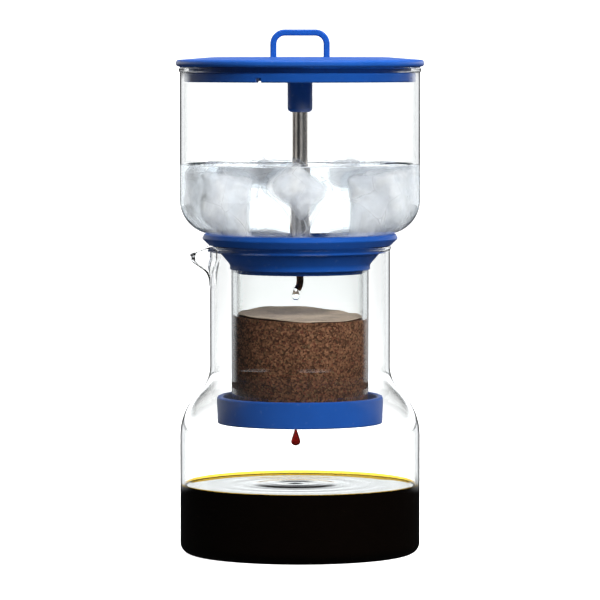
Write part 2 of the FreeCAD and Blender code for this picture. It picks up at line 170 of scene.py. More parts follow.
class BrewerColours(bpy.types.PropertyGroup):
    """Colours of the finishes."""

    silicone: colour("Silicone", (0.011, 0.083, 0.38), "Lid, handle, grip, collar and filter cup")
    seal: colour("Seal", (0.7, 0.73, 0.75), "The valve's milky seal")
    glass: colour("Glass", (0.985, 0.995, 0.992), "Carafe, tank and coffee tube")
    water: colour("Water", (0.95, 0.98, 1.0), "Water in the tank and its drop")
    ice: colour("Ice", (0.9, 0.93, 0.99), "Cloudy heart of the ice")
    coffee: colour("Coffee", (0.0014, 0.0008, 0.0005), "Brewed coffee where it is deep")
    amber: colour("Amber", (0.93, 0.76, 0.28), "Brewed coffee where it is thin")
    coffee_drop: colour("Coffee drop", (0.16, 0.006, 0.004), "Hanging drop of coffee")
    grounds_dark: colour("Dark grounds", (0.028, 0.013, 0.008), "Darkest grains")
    grounds_light: colour("Light grounds", (0.44, 0.22, 0.125), "Lightest grains")
    paper: colour("Wet paper", (1.0, 0.8, 0.62), "Paper filter")
    steel: colour("Steel", (0.82, 0.74, 0.68), "Stem, ring and mesh")
    spout: colour("Spout", (0.2, 0.11, 0.085), "Bent nozzle, stained by coffee")


class BrewerStudio(bpy.types.PropertyGroup):
    """Camera and light."""

    distance: length("Camera distance", 2310, "From the brewer's axis to the camera")
    height: length("Camera height", 263, "Height of the camera")
    pitch: amount("Camera pitch", math.radians(3.27), "Tilt of the camera below the horizon", "ROTATION")
    lens: amount("Lens", 268.56, "Focal length on a 36 mm sensor", "CAMERA")
    backdrop: amount("Backdrop", 1.55, "Brightness of the paper behind the brewer")
    horizon: amount("Horizon light", 1.9, "Brightness of the room just above the horizon")
    sky: amount("Room light", 0.07, "Brightness of the room overhead")
    key_power: amount("Key light", 40, "Power of the softbox in front", "POWER")
    top_power: amount("Top light", 54, "Power of the softbox above", "POWER")
    bounce_power: amount("Bounce light", 4, "Power of the light that the table sends up", "POWER")


class Wire:
    """An output socket of a node tree. Python's operators on it add Math nodes."""

    def __init__(self, tree, socket):
        self.tree = tree
        self.socket = socket

    def _maths(self, operation, first, second=0.0):
        return self.tree.node("ShaderNodeMath", {"operation": operation}, {0: first, 1: second})

    def __add__(self, other):
        return self._maths("ADD", self, other)

    def __sub__(self, other):
        return self._maths("SUBTRACT", self, other)

    def __rsub__(self, other):
        return self._maths("SUBTRACT", other, self)

    def __mul__(self, other):
        return self._maths("MULTIPLY", self, other)

    def __truediv__(self, other):
        return self._maths("DIVIDE", self, other)

    def __pow__(self, other):
        return self._maths("POWER", self, other)

    def at_most(self, other):
        """The lower of this and another value."""
        return self._maths("MINIMUM", self, other)

    __radd__ = __add__
    __rmul__ = __mul__


class Tree:
    """A node tree, with one method that adds any node to it."""

    def __init__(self, tree):
        self.tree = tree

    def node(self, kind, settings=None, inputs=None, output=0):
        """Adds a node: its settings first, then the values or links of its inputs. Returns one output."""
        node = self.tree.nodes.new(kind)
        for name, value in (settings or {}).items():
            setattr(node, name, value)
        for name, value in (inputs or {}).items():
            if isinstance(value, Wire):
                self.tree.links.new(value.socket, node.inputs[name])
            else:
                node.inputs[name].default_value = value
        return Wire(self, node.outputs[output]) if len(node.outputs) else None

    def part(self, vector, number):
        """One number of a vector: 0 for X, 1 for Y, 2 for Z."""
        return self.node("ShaderNodeSeparateXYZ", {}, {0: vector}, number)

    def ramp(self, value, low, high, start=0.0, end=1.0):
        """value's range from low to high, eased and turned into the range from start to end."""
        inputs = {"Value": value, "From Min": low, "From Max": high, "To Min": start, "To Max": end}
        return self.node("ShaderNodeMapRange", {"interpolation_type": "SMOOTHSTEP"}, inputs)


class Finish(Tree):
    """A material, and the shader nodes that the finishes share."""

    def __init__(self, name):
        self.material = bpy.data.materials.new(name)
        self.material.use_nodes = True
        self.material.node_tree.nodes.clear()
        super().__init__(self.material.node_tree)
        self.place = self.node("ShaderNodeTexCoord", output="Object")

    def stretched(self, scale):
        """Object coordinates, scaled along each axis."""
        return self.node("ShaderNodeMapping", {}, {"Vector": self.place, "Scale": scale})

    def clouds(self, size, detail=2.0, place=None):
        """Soft noise from 0 to 1 with features of about that size in metres."""
        inputs = {"Vector": place or self.place, "Scale": 1 / size, "Detail": detail}
        return self.node("ShaderNodeTexNoise", {}, inputs)

    def cells(self, size, feature="F1", output="Distance", place=None):
        """Cell pattern with cells of about that size in metres."""
        inputs = {"Vector": place or self.place, "Scale": 1 / size}
        return self.node("ShaderNodeTexVoronoi", {"feature": feature}, inputs, output)

    def blend(self, share, first, second):
        """A colour between two colours."""
        settings = {"data_type": "RGBA", "clamp_factor": True}
        return self.node("ShaderNodeMix", settings, {0: share, 6: first, 7: second}, 2)

    def bump(self, height, strength, distance):
        """A normal for a relief of that depth in metres."""
        inputs = {"Height": height, "Strength": strength, "Distance": distance}
        return self.node("ShaderNodeBump", {}, inputs)

    def height(self):
        """Height above the table in metres."""
        return self.part(self.place, 2)

    def radius(self):
        """Distance from the upright axis through the middle."""
        across = self.part(self.place, 0)
        along = self.part(self.place, 1)
        return (across * across + along * along) ** 0.5

    def principled(self, inputs):
        """The main shader."""
        return self.node("ShaderNodeBsdfPrincipled", {}, inputs)

    def mixed(self, share, first, second):
        """Part of one shader and part of another."""
        return self.node("ShaderNodeMixShader", {}, {0: share, 1: first, 2: second})

    def clear(self, tint=WHITE):
        """A shader that light goes straight through."""
        return self.node("ShaderNodeBsdfTransparent", {}, {"Color": tint})

    def done(self, surface):
        """Ends the material and returns it."""
        self.node("ShaderNodeOutputMaterial", {}, {"Surface": surface})
        return self.material

    def plain(self, inputs):
        """Ends the material with the main shader alone and returns it."""
        return self.done(self.principled(inputs))

    def done_clear(self, surface):
        """Ends the material so that lamps shine through it, and returns it."""
        shadow = self.node("ShaderNodeLightPath", output="Is Shadow Ray")
        return self.done(self.mixed(shadow, surface, self.clear(SHADOW_GLASS)))


def shaded(colour, share):
    """A colour made darker or lighter."""
    return tuple(min(1.0, channel * share) for channel in colour[:3]) + (1.0,)


def silicone_finish(name, colour, roughness):
    """Moulded rubber: a satin skin with a fine grain, slight changes of shade, and pale dusty specks that
    also serve as a painted sheen where the lamps give the rubber no gloss.
    """
    finish = Finish(name)
    shade = finish.clouds(14 * MM, 3)
    skin = finish.clouds(0.35 * MM, 2)
    # Pale dusty specks that are also a painted sheen: they lighten the blue as the lamps' highlights would.
    dust_and_sheen = finish.ramp(finish.clouds(2.2 * MM, 4), 0.62, 0.78)
    body = finish.blend(shade, shaded(colour, 0.86), shaded(colour, 1.16))
    body = finish.blend(dust_and_sheen * 0.1, body, (0.45, 0.5, 0.62, 1))
    return finish.plain({
        "Base Color": body,
        "Roughness": roughness + shade * 0.08 + skin * 0.06,
        "IOR": 1.45,
        "Specular IOR Level": 0.5,
        "Sheen Weight": 0.1,
        "Sheen Roughness": 0.35,
        "Sheen Tint": (0.55, 0.6, 1, 1),
        "Normal": finish.bump(skin, 0.1, 0.05 * MM),
    })


def glass_finish(name, colour, refraction, wave, wave_height):
    """Clear glass or water: slightly uneven, with faint smears."""
    finish = Finish(name)
    smears = finish.ramp(finish.clouds(9 * MM, 4, finish.stretched((1, 1, 0.35))), 0.5, 0.8)
    body = finish.principled({
        "Base Color": finish.blend(smears * 0.3, colour, shaded(colour, 0.985)),
        "Roughness": smears * 0.012,
        "IOR": refraction,
        "Transmission Weight": 1.0,
        "Normal": finish.bump(finish.clouds(wave, 1), 0.25, wave_height),
    })
    return finish.done_clear(body)


def steel_finish(name, colour, roughness, scratch):
    """Steel with fine lines, which scratch squeezes along each axis, and a few dull patches."""
    finish = Finish(name)
    lines = finish.clouds(0.22 * MM, 2, finish.stretched(scratch))
    dull = finish.ramp(finish.clouds(5 * MM, 3), 0.45, 0.8)
    return finish.plain({
        "Base Color": finish.blend(dull, colour, shaded(colour, 0.82)),
        "Metallic": 1.0,
        "Roughness": roughness + lines * 0.08 + dull * 0.06,
        "Normal": finish.bump(lines, 0.12, 0.02 * MM),
    })


def coffee_finish(colours, level):
    """Brewed coffee: black where it is deep, and clear amber in the thin edge that climbs the glass."""
    finish = Finish("brewed_coffee")
    film = finish.clouds(6 * MM, 3)
    raised = finish.ramp(finish.height(), level + 0.03 * MM, level + 0.14 * MM)
    at_glass = finish.ramp(finish.radius(), pool_top.x - 1.7 * MM, pool_top.x - 1.4 * MM)
    edge = raised * at_glass
    deep = finish.principled({
        "Base Color": finish.blend(film, colours.coffee, shaded(colours.coffee, 1.6)),
        "Roughness": 0.02 + film * 0.03,
        "IOR": 1.34,
    })
    return finish.done(finish.mixed(edge, deep, finish.clear(shaded(colours.amber, 0.9))))


def drop_finish(colour):
    """A drop of coffee, with light through its thin parts."""
    finish = Finish("coffee_drop")
    film = finish.clouds(2 * MM, 2)
    return finish.plain({
        "Base Color": finish.blend(film, colour, shaded(colour, 0.7)),
        "Roughness": film * 0.03,
        "IOR": 1.34,
        "Transmission Weight": 0.75,
    })


def grounds_finish(name, dark, light):
    """Wet ground coffee: grains of many browns, with gloss where they are wet."""
    finish = Finish(name)
    grain = finish.cells(GRAIN_CELL, output="Color")
    tone = finish.node("ShaderNodeSeparateColor", {}, {0: grain}, 0)
    hue = finish.node("ShaderNodeSeparateColor", {}, {0: grain}, 1)
    relief = finish.cells(GRAIN_CELL)
    patch = finish.clouds(7 * MM, 3)
    # The grounds are darker towards the bottom of the bed.
    foot = finish.ramp(finish.height(), GROUNDS_DARK_FOOT, GROUNDS_FULL_TOP, 0.45, 1.0)
    body = finish.blend((tone * 0.8 + patch * 0.2) ** 1.8 * foot, dark, light)
    body = finish.blend(finish.ramp(hue, 0.8, 0.95, 0, 0.5), body, (0.16, 0.045, 0.03, 1))
    body = finish.blend(finish.ramp(hue, 0.0, 0.12, 0.45, 0), body, (0.2, 0.15, 0.08, 1))
    return finish.plain({
        "Base Color": body,
        "Roughness": 0.5 + tone * 0.35,
        "IOR": 1.4,
        "Normal": finish.bump(relief, 0.8, 0.4 * MM),
    })


def paper_finish(colour):
    """Wet filter paper: short fibres, and darker where coffee has soaked in."""
    finish = Finish("wet_paper")
    fibre = finish.clouds(1.6 * MM, 5, finish.stretched((1, 0.5, 1)))
    stain = finish.ramp(finish.clouds(11 * MM, 4), 0.35, 0.7)
    body = finish.blend(stain, colour, shaded(colour, 0.72))
    body = finish.blend(fibre * 0.5, body, shaded(colour, 0.5))
    return finish.plain({
        "Base Color": body,
        "Roughness": 0.45 + fibre * 0.3,
        "Normal": finish.bump(fibre, 0.4, 0.12 * MM),
    })


def ice_skin_finish(colour):
    """Wet ice: nearly clear under water, with shallow hollows and thin white cracks."""
    finish = Finish("ice_skin")
    crack = finish.cells(17 * MM, "DISTANCE_TO_EDGE", place=finish.stretched((1, 0.8, 1.2)))
    line = finish.ramp(crack, 0.0, 0.012, 0.4, 0.0)
    haze = finish.ramp(finish.clouds(14 * MM, 3), 0.45, 0.8, 0.02, 0.22)
    rim = finish.node("ShaderNodeLayerWeight", {}, {"Blend": 0.3}, "Facing")
    frost = finish.principled({
        "Base Color": finish.blend(haze, shaded(colour, 0.95), shaded(colour, 1.1)),
        "Roughness": 0.3 + haze,
        "Normal": finish.bump(finish.clouds(4 * MM, 3), 0.4, 0.4 * MM),
    })
    share = (line + haze + rim ** 3.0 * 0.25).at_most(0.6)
    return finish.done_clear(finish.mixed(share, finish.clear((0.97, 0.985, 1, 1)), frost))


def ice_heart_finish(colour):
    """The cloudy heart of a lump of ice, thin at its edges."""
    finish = Finish("ice_heart")
    cloud = finish.ramp(finish.clouds(9 * MM, 5), 0.32, 0.72)
    facing = finish.node("ShaderNodeLayerWeight", {}, {"Blend": 0.5}, "Facing")
    share = ((1 - facing) * (0.55 + cloud * 0.5)).at_most(0.86)
    frost = finish.principled({
        "Base Color": finish.blend(cloud, shaded(colour, 0.85), shaded(colour, 1.15)),
        "Roughness": 0.8,
        "Normal": finish.bump(cloud, 0.3, 0.6 * MM),
    })
    return finish.done_clear(finish.mixed(share, finish.clear(), frost))


def bubble_finish(colour):
    """Bubbles in the ice, which catch the light."""
    finish = Finish("ice_bubbles")
    tone = finish.clouds(4 * MM, 1)
    return finish.plain({
        "Base Color": finish.blend(tone, shaded(colour, 1.1), WHITE),
        "Roughness": 0.05 + tone * 0.2,
        "Transmission Weight": 0.4,
    })


def rounded(corners):
    """Points along an outline of (radius, height, round) corners, with an arc at each rounded corner."""
    points = []
    for index, (x, z, reach) in enumerate(corners):
        here = Vector((x, z))
        if reach == 0 or index in (0, len(corners) - 1):
            points.append(here)
            continue
        back = (Vector(corners[index - 1][:2]) - here).normalized()
        ahead = (Vector(corners[index + 1][:2]) - here).normalized()
        half = math.acos(max(-1.0, min(1.0, back.dot(ahead)))) / 2
        centre = here + (back + ahead).normalized() * (reach / math.sin(half))
        start = here + back * (reach / math.tan(half)) - centre
        turn = start.angle_signed(here + ahead * (reach / math.tan(half)) - centre)
        steps = max(3, math.ceil(abs(turn) / math.radians(5)))
        for step in range(steps + 1):
            points.append(centre + Matrix.Rotation(-turn * step / steps, 2) @ start)
    return points


def smooth(share):
    """A share from 0 to 1, eased at both ends."""
    return share * share * (3 - 2 * share)


def added(name, data):
    """A new object of that data, in the scene."""
    item = bpy.data.objects.new(name, data)
    bpy.context.scene.collection.objects.link(item)
    return item


def new_piece(name, mesh, finish):
    """A smooth object of that mesh and finish, in the scene."""
    for face in mesh.polygons:
        face.use_smooth = True
    mesh.materials.clear()
    mesh.materials.append(finish)
    return added(name, mesh)


def turned_mesh(name, outline, segments, crowd=0.0, shape=None):
    """A closed mesh turned about the Z axis from an outline of (radius, height) points.

    An outline that starts and ends on the axis gets a pole there, and any other is closed into a ring.
    crowd packs the segments towards -X. shape may move each point.
    """
    turned = bmesh.new()
    rings = []
    for radius, height in outline:
        if radius < ON_AXIS:
            rings.append([turned.verts.new((0, 0, height))])
            continue
        ring = []
        for index in range(segments):
            share = FULL_TURN * index / segments
            angle = math.pi + share - crowd * math.sin(share)
            ring.append(turned.verts.new((radius * math.cos(angle), radius * math.sin(angle), height)))
        rings.append(ring)
    pairs = list(zip(rings, rings[1:]))
    if len(rings[0]) > 1:
        pairs.append((rings[-1], rings[0]))
    for low, high in pairs:
        for index in range(segments):
            after = (index + 1) % segments
            sides = ((low, index), (low, after), (high, after), (high, index))
            corners = list(dict.fromkeys(ring[at % len(ring)] for ring, at in sides))
            if len(corners) > 2:
                turned.faces.new(corners)
    if shape:
        for point in turned.verts:
            point.co = shape(point.co)
    bmesh.ops.recalc_face_normals(turned, faces=turned.faces)
    mesh = bpy.data.meshes.new(name)
    turned.to_mesh(mesh)
    turned.free()
    return mesh


def carafe_outline(sizes, inset):
    """The carafe's side from heel to neck, inset from its outside, with its corners' rounds."""
    half = math.tan(math.radians(22.5))
    side = carafe_top.x - inset
    low = sizes.shoulder_start + sizes.shoulder_round * half
    rise = carafe_top.x - sizes.neck
    return [
        (side, low - inset * half, sizes.shoulder_round - inset),
        (sizes.neck - inset, low + rise - inset * half, sizes.neck_round + inset),
    ]


def carafe_mesh(sizes):
    """Carafe with a beaded rim, and a pouring lip drawn out of its neck towards -X."""
    rim = carafe_top.z
    inside = sizes.neck - sizes.wall
    edge = 0.9 * MM
    outer = [(0, 0, 0), (carafe_top.x, 0, sizes.heel)] + carafe_outline(sizes, 0)
    outer += [(sizes.neck, rim - 2.6 * MM, 0.8 * MM), (sizes.neck + sizes.bead, rim - 1.6 * MM, 0.6 * MM)]
    outer += [(sizes.neck + sizes.bead, rim, edge), (inside, rim, edge)]
    inner = [(inside, rim - 3 * MM, 0)] + carafe_outline(sizes, sizes.wall)[::-1]
    inner += [(carafe_top.x - sizes.wall, sizes.floor, sizes.heel - sizes.wall), (0, sizes.floor, 0)]
    outline = []
    for point in rounded(outer + inner):
        gap = (point - outline[-1]).length if outline else 0
        near_rim = point.y > rim - sizes.lip_depth - 4 * MM
        count = math.ceil(gap / (FINE_STEP if near_rim else PLAIN_STEP))
        for step in range(1, count):
            outline.append(outline[-1].lerp(point, 1 / (count - step + 1)))
        outline.append(point)

    def drawn_lip(point):
        """The point, moved out where the lip is drawn from the neck."""
        low = rim - sizes.lip_depth
        radius = point.xy.length
        if point.z <= low or radius < inside - 0.6 * MM:
            return point
        angle = abs(math.atan2(point.y, -point.x))
        inset = sizes.neck - radius
        share = smooth(min(1.0, (point.z - low) / sizes.lip_rise) ** 1.3)
        # Seen from above, the lip is a round nose between two straight flanks. It starts inside the neck.
        start = -0.45 * MM
        nose = sizes.neck + start + (sizes.lip_reach - start) * share - inset
        curve = sizes.lip_nose - inset
        centre = nose - curve
        side = math.atan2(curve * math.cos(LIP_FLANK), centre + curve * math.sin(LIP_FLANK))
        if angle < side:
            reach = centre * math.cos(angle) + math.sqrt(curve ** 2 - (centre * math.sin(angle)) ** 2)
        elif angle < LIP_SPAN:
            reach = (centre * math.sin(LIP_FLANK) + curve) / math.sin(angle + LIP_FLANK)
        else:
            return point
        blend = max(0.0, min(1.0, 0.5 + 0.5 * (reach - radius) / sizes.lip_blend))
        drawn = radius + (reach - radius) * blend + sizes.lip_blend * blend * (1 - blend) * 0.5
        drop = LIP_FALL * max(0.0, drawn - radius) * ((point.z - low) / sizes.lip_depth) ** 2
        return Vector((point.x * drawn / radius, point.y * drawn / radius, point.z - drop))

    return turned_mesh("carafe", outline, 256, 0.6, drawn_lip)


def liquid_top(radius, level, climb, reach, inner=0.0):
    """Height of a liquid's surface at that radius, with its climb at the glass and at a stem.

    The carafe and the tank have the same inside radius.
    """
    share = math.exp((radius - pool_top.x) / reach)
    if inner:
        share += 0.6 * math.exp((inner - radius) / reach)
    return level + climb * min(1.0, share)


def pool_mesh(sizes, drip_x):
    """Brewed coffee, with a film up the glass, most at the back, and rings where the drops fall."""
    level = pool_top.z
    radius = pool_top.x + sizes.overlap
    foot = sizes.floor - sizes.overlap
    outline = rounded([(0, foot, 0), (radius, foot, sizes.heel - sizes.wall), (radius, level, 0)])
    radii = [radius - step * 0.2 * MM for step in range(24)]
    while radii[-1] > 0.8 * MM:
        radii.append(radii[-1] - 0.75 * MM)
    climb = (level, sizes.coffee_climb, sizes.climb_reach)
    outline += [Vector((at, liquid_top(at, *climb))) for at in radii]
    outline.append(Vector((0, level)))

    def rippled(point):
        """The point, moved up or down if it is on the surface."""
        if point.z < level - SURFACE_DEPTH:
            return point
        away = math.hypot(point.x - drip_x, point.y)
        fade = math.exp(-away / sizes.ripple_reach) * min(1.0, (radius - point.xy.length) / (4 * MM))
        wave = sizes.ripple * fade * math.cos(FULL_TURN * away / sizes.ripple_length)
        swell = 0.05 * MM * noise.noise(point * 45) * fade
        film = 0.66 + 0.34 * math.sin(math.atan2(point.y, point.x))
        fall = min(1, max(0, (away - sizes.mound_flat) / sizes.mound_fall))
        mound = sizes.mound * (1 - smooth(fall))
        return Vector((point.x, point.y, level + (point.z - level) * film + wave + swell + mound))

    return turned_mesh("brewed_coffee", outline, 224, 0, rippled)


def tank_water_mesh(sizes):
    """Water in the tank, round the valve's stem, with a climbing edge at both."""
    level = tank_water_top.z
    radius = tank_water_top.x + sizes.overlap
    foot = tank_water_foot.z - sizes.overlap
    stem = stem_top.x - 0.03 * MM
    outline = rounded([(stem, foot, 0), (radius, foot, sizes.tank_corner), (radius, level, 0)])
    radii = [radius - step * 0.3 * MM for step in range(18)]
    while radii[-1] > stem + 6 * MM:
        radii.append(radii[-1] - 1.6 * MM)
    while radii[-1] > stem + 0.4 * MM:
        radii.append(radii[-1] - 0.4 * MM)
    radii.append(stem)
    climb = (level, sizes.water_climb, sizes.climb_reach, stem)
    outline += [Vector((at, liquid_top(at, *climb))) for at in radii]

    def stirred(point):
        """The point, moved up or down if it is on the surface."""
        if point.z < level - SURFACE_DEPTH:
            return point
        away = min(1.0, (radius - point.xy.length) / (8 * MM))
        return point + Vector((0, 0, 0.25 * MM * away * noise.noise(point * 60)))

    return turned_mesh("tank_water", outline, 192, 0, stirred)


def ice_mesh(name, share, cuts, melt):
    """All lumps of ice at a share of their size, rounded and unevenly melted."""
    lumps = bmesh.new()
    for number, (size, (x, y), turns, rise) in enumerate(ICE_LUMPS):
        half = Vector(size) * 0.5 * MM
        turn = Matrix.Identity(3)
        for angle, axis in zip(turns, "ZYX"):
            turn = turn @ Matrix.Rotation(math.radians(angle), 3, axis)
        lump = bmesh.new()
        bmesh.ops.create_cube(lump, size=2)
        bmesh.ops.subdivide_edges(lump, edges=lump.edges, cuts=cuts, use_grid_fill=True)
        for point in lump.verts:
            full = Vector(a * b for a, b in zip(point.co, half))
            core = Vector(max(ICE_ROUND - b, min(b - ICE_ROUND, a)) for a, b in zip(full, half))
            away = full - core
            near = core + away.normalized() * min(ICE_ROUND, away.length) if away.length > 0 else full
            hollow = noise.noise(near * 75 + Vector((number * 7.3, 0, 0)))
            fine = noise.noise(near * 240 + Vector((0, number * 3.1, 0)))
            near = near * (1 + melt * (0.9 * hollow + 0.25 * fine - 0.35))
            point.co = turn @ (near * share)
        ends = [(i * half.x, j * half.y, k * half.z) for i in (-1, 1) for j in (-1, 1) for k in (-1, 1)]
        full_top = max((turn @ Vector(end)).z for end in ends)
        centre = tank_water_top.z + rise * MM - full_top + ICE_ROUND * 0.55
        shift = Vector((x * MM, y * MM, centre))
        for point in lump.verts:
            point.co += shift
        part = bpy.data.meshes.new(name)
        lump.to_mesh(part)
        lump.free()
        lumps.from_mesh(part)
        bpy.data.meshes.remove(part)
    bmesh.ops.recalc_face_normals(lumps, faces=lumps.faces)
    mesh = bpy.data.meshes.new(name)
    lumps.to_mesh(mesh)
    lumps.free()
    return mesh


def bed_height(x, y):
    """Height of the top of the grounds, which falls a little towards +X and the front."""
    return BED_TOP - x * BED_FALL_RIGHT + y * BED_FALL_FRONT


def grounds_mesh():
    """Bed of wet grounds, with a rough side and a rough sloping top."""
    foot = mesh_foot.z + 1.4 * MM
    radius = grounds_top.x + WALL_CONTACT
    rows = 64
    rings = 24
    outline = [Vector((0, foot)), Vector((radius * 0.5, foot))]
    outline += [Vector((radius, foot + (BED_TOP - foot) * row / rows)) for row in range(rows + 1)]
    outline += [Vector((radius * (1 - ring / rings), BED_TOP)) for ring in range(1, rings)]
    outline.append(Vector((0, BED_TOP)))

    def settled(point):
        """The point, roughened and moved onto the slope of the bed's top."""
        share = (point.z - foot) / (BED_TOP - foot)
        rough = noise.noise(point * 900) * 0.1 * MM + noise.noise(point * 260) * 0.06 * MM
        pull = 1 + rough / radius if point.xy.length > radius * 0.95 else 1
        slope = (bed_height(point.x, point.y) - BED_TOP) * share ** 3
        return Vector((point.x * pull, point.y * pull, point.z + slope + rough * share))

    return turned_mesh("coffee_grounds", outline, 200, 0, settled)


def paper_mesh():
    """Wet round paper that lies on the bed, with radial creases and an edge that turns up at the glass."""
    radius = grounds_top.x + PAPER_OVERHANG
    count = 46
    top = [Vector((radius * step / count, PAPER_THICK)) for step in range(count + 1)]
    outline = top + [Vector((at.x, 0)) for at in top[::-1]]

    def creased(point):
        """The point, lifted onto the bed with its crease, wave and curl."""
        angle = math.atan2(point.y, point.x)
        share = point.xy.length / radius
        fold = math.sin(angle * 9 + 2.2 * noise.noise(point * 40)) * 0.21 * MM * share ** 2
        wave = noise.noise(Vector((point.x * 70, point.y * 70, 4.2))) * 0.275 * MM
        curl = max(0.0, share - 0.9) ** 2 * (40 + 40 * math.sin(angle * 3 + 2.4)) * MM
        lift = bed_height(point.x, point.y) + fold + wave + curl + PAPER_LIFT
        ragged = 1 - 0.012 * share * (1 + noise.noise(Vector((angle * 3, 7, 0))))
        return Vector((point.x * ragged, point.y * ragged, lift + point.z))

    return turned_mesh("paper_filter", outline, 180, 0, creased)


def pattern_tree(name, inputs):
    """A Geometry Nodes tree with named number inputs and a material. Returns it with its inputs' wires."""
    group = bpy.data.node_groups.new(name, "GeometryNodeTree")
    sockets = [("Surface", "INPUT", "Geometry")] + [(label, "INPUT", "Float") for label in inputs]
    sockets += [("Finish", "INPUT", "Material"), ("Result", "OUTPUT", "Geometry")]
    for label, way, kind in sockets:
        group.interface.new_socket(label, in_out=way, socket_type="NodeSocket" + kind)
    tree = Tree(group)
    start = tree.node("NodeGroupInput")
    wires = {socket.name: Wire(tree, socket) for socket in start.socket.node.outputs if socket.name}
    return tree, wires


def finish_pattern(tree, result, wires):
    """Ends a pattern with real faces and its finish."""
    real = tree.node("GeometryNodeRealizeInstances", {}, {"Geometry": result})
    dressed = tree.node("GeometryNodeSetMaterial", {}, {"Geometry": real, "Material": wires["Finish"]})
    tree.node("NodeGroupOutput", {}, {"Result": dressed})
    return tree.tree


def scatter_pattern(name, low, high, seed):
    """Small lumps scattered over a surface."""
    tree, wires = pattern_tree(name, ["Density", "Lump Size"])
    points = tree.node(
        "GeometryNodeDistributePointsOnFaces",
        {"distribute_method": "RANDOM"},
        {"Mesh": wires["Surface"], "Density": wires["Density"], "Seed": seed},
    )
    lump = tree.node("GeometryNodeMeshIcoSphere", {}, {"Radius": wires["Lump Size"], "Subdivisions": 1})
    random = ("FunctionNodeRandomValue", {"data_type": "FLOAT_VECTOR"})
    spin = tree.node(*random, {0: (0, 0, 0), 1: (6.28, 6.28, 6.28), "Seed": seed})
    scale = tree.node(*random, {0: (low, low, low), 1: (high, high, high), "Seed": seed + 1})
    inputs = {"Points": points, "Instance": lump, "Rotation": spin, "Scale": scale}
    return finish_pattern(tree, tree.node("GeometryNodeInstanceOnPoints", {}, inputs), wires)


def woven_pattern():
    """Round woven mesh: a grid of wires that pass over and under each other, dished in the middle."""
    tree, wires = pattern_tree("woven_mesh", ["Radius", "Pitch", "Wire", "Level", "Dish"])
    across = wires["Radius"] * 2.0
    count = tree.node("FunctionNodeFloatToInt", {}, {0: across / wires["Pitch"]})
    inputs = {"Size X": across, "Size Y": across, "Vertices X": count, "Vertices Y": count}
    grid = tree.node("GeometryNodeMeshGrid", {}, inputs)
    place = tree.node("GeometryNodeInputPosition")
    away = tree.node("ShaderNodeVectorMath", {"operation": "LENGTH"}, {0: place}, "Value")
    outside = tree.node("FunctionNodeCompare", {"operation": "GREATER_THAN"}, {0: away, 1: wires["Radius"]})
    inputs = {"Geometry": grid, "Selection": outside}
    disc = tree.node("GeometryNodeDeleteGeometry", {"domain": "POINT"}, inputs)
    number = tree.node("GeometryNodeInputIndex")
    over = tree.node("ShaderNodeMath", {"operation": "MODULO"}, {0: number, 1: 2.0})
    share = away / wires["Radius"]
    depth = wires["Level"] - wires["Dish"] * (1 - share * share) + (over - 0.5) * wires["Wire"] * 0.9
    shift = tree.node("ShaderNodeCombineXYZ", {}, {2: depth})
    dished = tree.node("GeometryNodeSetPosition", {}, {"Geometry": disc, "Offset": shift})
    lines = tree.node("GeometryNodeMeshToCurve", {}, {"Mesh": dished})
    ring = tree.node("GeometryNodeCurvePrimitiveCircle", {}, {"Resolution": 5, "Radius": wires["Wire"]})
    inputs = {"Curve": lines, "Profile Curve": ring, "Fill Caps": True}
    return finish_pattern(tree, tree.node("GeometryNodeCurveToMesh", {}, inputs), wires)


def patterned(name, mesh, group, values, finish):
    """A plain mesh made by a pattern from a starting mesh."""
    start = added(name + "_start", mesh)
    modifier = start.modifiers.new("Pattern", "NODES")
    modifier.node_group = group
    for item in group.interface.items_tree:
        if item.name in values:
            modifier[item.identifier] = values[item.name]
        elif item.name == "Finish":
            modifier[item.identifier] = finish
    graph = bpy.context.evaluated_depsgraph_get()
    result = bpy.data.meshes.new_from_object(start.evaluated_get(graph))
    result.name = name
    bpy.data.objects.remove(start)
    if len(result.polygons) == 0:
        raise RuntimeError(f"the pattern for {name} made no faces")
    return result


def dress(finish, slot, *nodes):
    """Gives CAD nodes their finish."""
    for node in nodes:
        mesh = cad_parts[node].data
        mesh.materials.clear()
        mesh.materials.append(finish)


def settle(name, mesh, finish, body, slot, *nodes):
    """Puts a new piece on its body, in the place of its CAD nodes."""
    piece = new_piece(name, mesh, finish)
    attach(piece, body)
    if nodes:
        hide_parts(*nodes)


